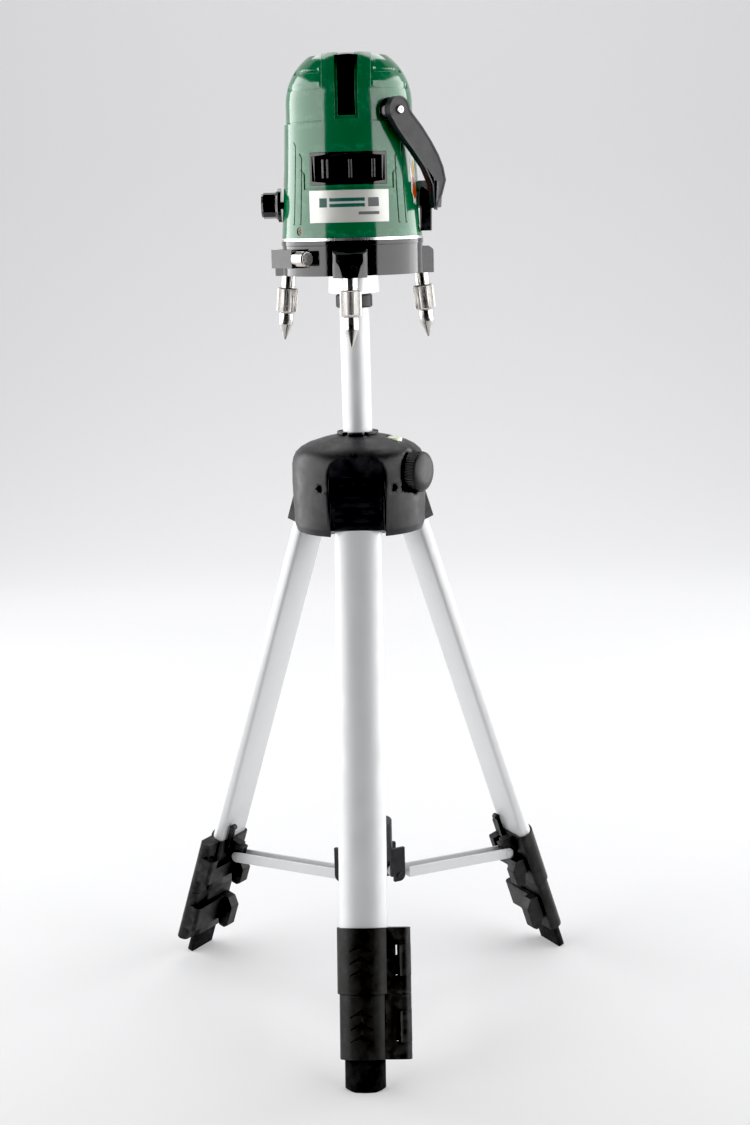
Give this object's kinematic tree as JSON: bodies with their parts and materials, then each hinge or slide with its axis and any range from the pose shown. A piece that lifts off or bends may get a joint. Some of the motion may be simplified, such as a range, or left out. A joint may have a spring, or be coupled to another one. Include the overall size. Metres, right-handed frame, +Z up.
{
  "type": "laser level on tripod",
  "caption": "Self-levelling rotating laser level with a domed head, carry handle and levelling feet, on a folding tripod with telescopic legs and a braced centre column.",
  "frame": {"origin": "on the centre column's axis at floor level, with the three rubber feet resting at z 0", "axes": "+Z up along the column, -Y the way the front window and the front leg face, +X the object's right as seen from the front"},
  "size_m": [0.3421, 0.3103, 0.764],
  "materials": {
    "satin_black": "moulded satin black",
    "clamp_black": "moulded, fine texture",
    "base_black": "gloss black",
    "handle_black": "fine textured black",
    "head_green": "gloss emerald",
    "anodised": "fine brushed and clear anodised",
    "white_platform": "satin",
    "ring_silver": "turned",
    "chrome": "polished",
    "steel": "bright",
    "dark_screws": "black oxide",
    "plate_silver": "printed satin silver",
    "window_glass": "dark tinted",
    "vial": "clear over pale liquid",
    "battery_blue": "wrapped",
    "cast_frame": "cast",
    "brass": "turned",
    "button_red": "gloss",
    "foot_rubber": "matt"
  },
  "bodies": {
    "tripod_head": {"hub_body": "satin_black", "bubble_vial": "vial", "leg_hinge_pins": "steel"},
    "column": {"column_tube": "anodised", "column_head": "white_platform", "column_collar": "satin_black"},
    "lock_knob": {"column_lock_knob": "satin_black"},
    "brace_hub": {"brace_hub": "satin_black"},
    "leg_front": {"leg_insert_front": "satin_black", "leg_tube_front": "anodised", "upper_clamp_front": "clamp_black"},
    "upper_lever_front": {"upper_lever_front": "clamp_black"},
    "middle_front": {"mid_tube_front": "anodised", "lower_clamp_front": "clamp_black"},
    "lower_lever_front": {"lower_lever_front": "clamp_black"},
    "lower_front": {"lower_tube_front": "anodised", "rubber_foot_front": "foot_rubber"},
    "brace_front": {"brace_arm_front": "anodised"},
    "leg_right": {"leg_insert_right": "satin_black", "leg_tube_right": "anodised", "upper_clamp_right": "clamp_black"},
    "upper_lever_right": {"upper_lever_right": "clamp_black"},
    "middle_right": {"mid_tube_right": "anodised", "lower_clamp_right": "clamp_black"},
    "lower_lever_right": {"lower_lever_right": "clamp_black"},
    "lower_right": {"lower_tube_right": "anodised", "rubber_foot_right": "foot_rubber"},
    "brace_right": {"brace_arm_right": "anodised"},
    "leg_left": {"leg_insert_left": "satin_black", "leg_tube_left": "anodised", "upper_clamp_left": "clamp_black"},
    "upper_lever_left": {"upper_lever_left": "clamp_black"},
    "middle_left": {"mid_tube_left": "anodised", "lower_clamp_left": "clamp_black"},
    "lower_lever_left": {"lower_lever_left": "clamp_black"},
    "lower_left": {"lower_tube_left": "anodised", "rubber_foot_left": "foot_rubber"},
    "brace_left": {"brace_arm_left": "anodised"},
    "base": {"base_body": "base_black", "graduated_ring": "ring_silver"},
    "levelling_foot_front": {"levelling_foot_front": "chrome"},
    "levelling_foot_right": {"levelling_foot_right": "chrome"},
    "levelling_foot_left": {"levelling_foot_left": "chrome"},
    "tangent_knob": {"tangent_knob": "chrome"},
    "laser_head": {"housing_shell": "head_green", "window_bezel": "base_black", "front_glass": "window_glass", "slot_glass": "window_glass", "nameplate": "plate_silver", "housing_screws": "dark_screws", "handle_screws": "chrome", "battery_pack": "battery_blue", "chassis_frame": "cast_frame"},
    "carry_handle": {"carry_handle": "handle_black"},
    "power_knob": {"power_knob": "base_black"},
    "battery_cover": {"battery_cover": "satin_black"},
    "mode_button": {"mode_button": "button_red"},
    "gimbal": {"gimbal_ring": "brass"},
    "pendulum": {"pendulum": "brass", "laser_modules": "steel"}
  },
  "joints": [
    {"name": "leg_fold_front", "type": "hinge", "parent": "tripod_head", "child": "leg_front", "pos_m": [0, -0.037, 0.434], "axis": [-1, 0, 0], "range_deg": [-16, 0]},
    {"name": "brace_fold_front", "type": "hinge", "parent": "leg_front", "child": "brace_front", "pos_m": [0, -0.13449, 0.09359], "axis": [-1, 0, 0], "range_deg": [-65.54, 0]},
    {"name": "upper_lever_front", "type": "hinge", "parent": "leg_front", "child": "upper_lever_front", "pos_m": [0.0303, -0.15411, 0.08988], "axis": [0, -0.3206, -0.9472], "range_deg": [0, 110]},
    {"name": "middle_slide_front", "type": "slide", "parent": "leg_front", "child": "middle_front", "axis": [0, -0.3206, -0.9472], "range_m": [0, 0.27]},
    {"name": "lower_lever_front", "type": "hinge", "parent": "middle_front", "child": "lower_lever_front", "pos_m": [0.0303, -0.16972, 0.04375], "axis": [0, -0.3206, -0.9472], "range_deg": [0, 110]},
    {"name": "lower_slide_front", "type": "slide", "parent": "middle_front", "child": "lower_front", "axis": [0, -0.3206, -0.9472], "range_m": [0, 0.25]},
    {"name": "leg_fold_right", "type": "hinge", "parent": "tripod_head", "child": "leg_right", "pos_m": [0.03204, 0.0185, 0.434], "axis": [0.5, -0.866, 0], "range_deg": [-16, 0]},
    {"name": "brace_fold_right", "type": "hinge", "parent": "leg_right", "child": "brace_right", "pos_m": [0.11647, 0.06724, 0.09359], "axis": [0.5, -0.866, 0], "range_deg": [-65.54, 0]},
    {"name": "upper_lever_right", "type": "hinge", "parent": "leg_right", "child": "upper_lever_right", "pos_m": [0.11831, 0.1033, 0.08988], "axis": [0.2777, 0.1603, -0.9472], "range_deg": [0, 110]},
    {"name": "middle_slide_right", "type": "slide", "parent": "leg_right", "child": "middle_right", "axis": [0.2777, 0.1603, -0.9472], "range_m": [0, 0.27]},
    {"name": "lower_lever_right", "type": "hinge", "parent": "middle_right", "child": "lower_lever_right", "pos_m": [0.13184, 0.1111, 0.04375], "axis": [0.2777, 0.1603, -0.9472], "range_deg": [0, 110]},
    {"name": "lower_slide_right", "type": "slide", "parent": "middle_right", "child": "lower_right", "axis": [0.2777, 0.1603, -0.9472], "range_m": [0, 0.25]},
    {"name": "leg_fold_left", "type": "hinge", "parent": "tripod_head", "child": "leg_left", "pos_m": [-0.03204, 0.0185, 0.434], "axis": [0.5, 0.866, 0], "range_deg": [-16, 0]},
    {"name": "brace_fold_left", "type": "hinge", "parent": "leg_left", "child": "brace_left", "pos_m": [-0.11647, 0.06724, 0.09359], "axis": [0.5, 0.866, 0], "range_deg": [-65.54, 0]},
    {"name": "upper_lever_left", "type": "hinge", "parent": "leg_left", "child": "upper_lever_left", "pos_m": [-0.14861, 0.05081, 0.08988], "axis": [-0.2777, 0.1603, -0.9472], "range_deg": [0, 110]},
    {"name": "middle_slide_left", "type": "slide", "parent": "leg_left", "child": "middle_left", "axis": [-0.2777, 0.1603, -0.9472], "range_m": [0, 0.27]},
    {"name": "lower_lever_left", "type": "hinge", "parent": "middle_left", "child": "lower_lever_left", "pos_m": [-0.16214, 0.05862, 0.04375], "axis": [-0.2777, 0.1603, -0.9472], "range_deg": [0, 110]},
    {"name": "lower_slide_left", "type": "slide", "parent": "middle_left", "child": "lower_left", "axis": [-0.2777, 0.1603, -0.9472], "range_m": [0, 0.25]},
    {"name": "brace_hub_slide", "type": "slide", "parent": "tripod_head", "child": "brace_hub", "axis": [0, 0, 1], "range_m": [0, 0.09281]},
    {"name": "column_slide", "type": "slide", "parent": "tripod_head", "child": "column", "axis": [0, 0, 1], "range_m": [-0.08, 0.13]},
    {"name": "column_lock_turn", "type": "hinge", "parent": "tripod_head", "child": "lock_knob", "pos_m": [0.0433, -0.025, 0.444], "axis": [0.866, -0.5, 0], "range_deg": [0, 360]},
    {"name": "base_turn", "type": "hinge", "parent": "column", "child": "base", "pos_m": [0, 0, 0.598], "axis": [0, 0, 1], "continuous": true},
    {"name": "levelling_foot_front", "type": "slide", "parent": "base", "child": "levelling_foot_front", "axis": [0, -0.1132, -0.9936], "range_m": [-0.005, 0.006]},
    {"name": "levelling_foot_right", "type": "slide", "parent": "base", "child": "levelling_foot_right", "axis": [0.098, 0.0566, -0.9936], "range_m": [-0.005, 0.006]},
    {"name": "levelling_foot_left", "type": "slide", "parent": "base", "child": "levelling_foot_left", "axis": [-0.098, 0.0566, -0.9936], "range_m": [-0.005, 0.006]},
    {"name": "tangent_knob_turn", "type": "hinge", "parent": "base", "child": "tangent_knob", "pos_m": [-0.04635, -0.03889, 0.6115], "axis": [0.6428, -0.766, 0], "continuous": true},
    {"name": "head_rotation", "type": "hinge", "parent": "base", "child": "laser_head", "pos_m": [0, 0, 0.6267], "axis": [0, 0, 1], "continuous": true},
    {"name": "handle_swing", "type": "hinge", "parent": "laser_head", "child": "carry_handle", "pos_m": [0, 0, 0.72], "axis": [0.6561, -0.7547, 0], "range_deg": [0, 180]},
    {"name": "power_knob_turn", "type": "hinge", "parent": "laser_head", "child": "power_knob", "pos_m": [-0.06, 0, 0.652], "axis": [-1, 0, 0], "range_deg": [0, 90]},
    {"name": "battery_cover_slide", "type": "slide", "parent": "laser_head", "child": "battery_cover", "axis": [0, 0, 1], "range_m": [0, 0.03]},
    {"name": "mode_button_press", "type": "slide", "parent": "laser_head", "child": "mode_button", "axis": [0, 0, -1], "range_m": [0, 0.001], "stiffness_N_per_m": 400},
    {"name": "gimbal_tilt", "type": "hinge", "parent": "laser_head", "child": "gimbal", "pos_m": [0, 0, 0.718], "axis": [1, 0, 0], "range_deg": [-3, 3]},
    {"name": "pendulum_tilt", "type": "hinge", "parent": "gimbal", "child": "pendulum", "pos_m": [0, 0, 0.718], "axis": [0, 1, 0], "range_deg": [-3, 3]}
  ],
  "couplings": [
    {"joint": "brace_fold_front", "follows": "leg_fold_front", "ratio": 4.0934},
    {"joint": "leg_fold_right", "follows": "leg_fold_front", "ratio": 1},
    {"joint": "brace_fold_right", "follows": "leg_fold_front", "ratio": 4.0934},
    {"joint": "leg_fold_left", "follows": "leg_fold_front", "ratio": 1},
    {"joint": "brace_fold_left", "follows": "leg_fold_front", "ratio": 4.0934},
    {"joint": "brace_hub_slide", "follows": "leg_fold_front", "m_per_rad": -0.33162}
  ]
}
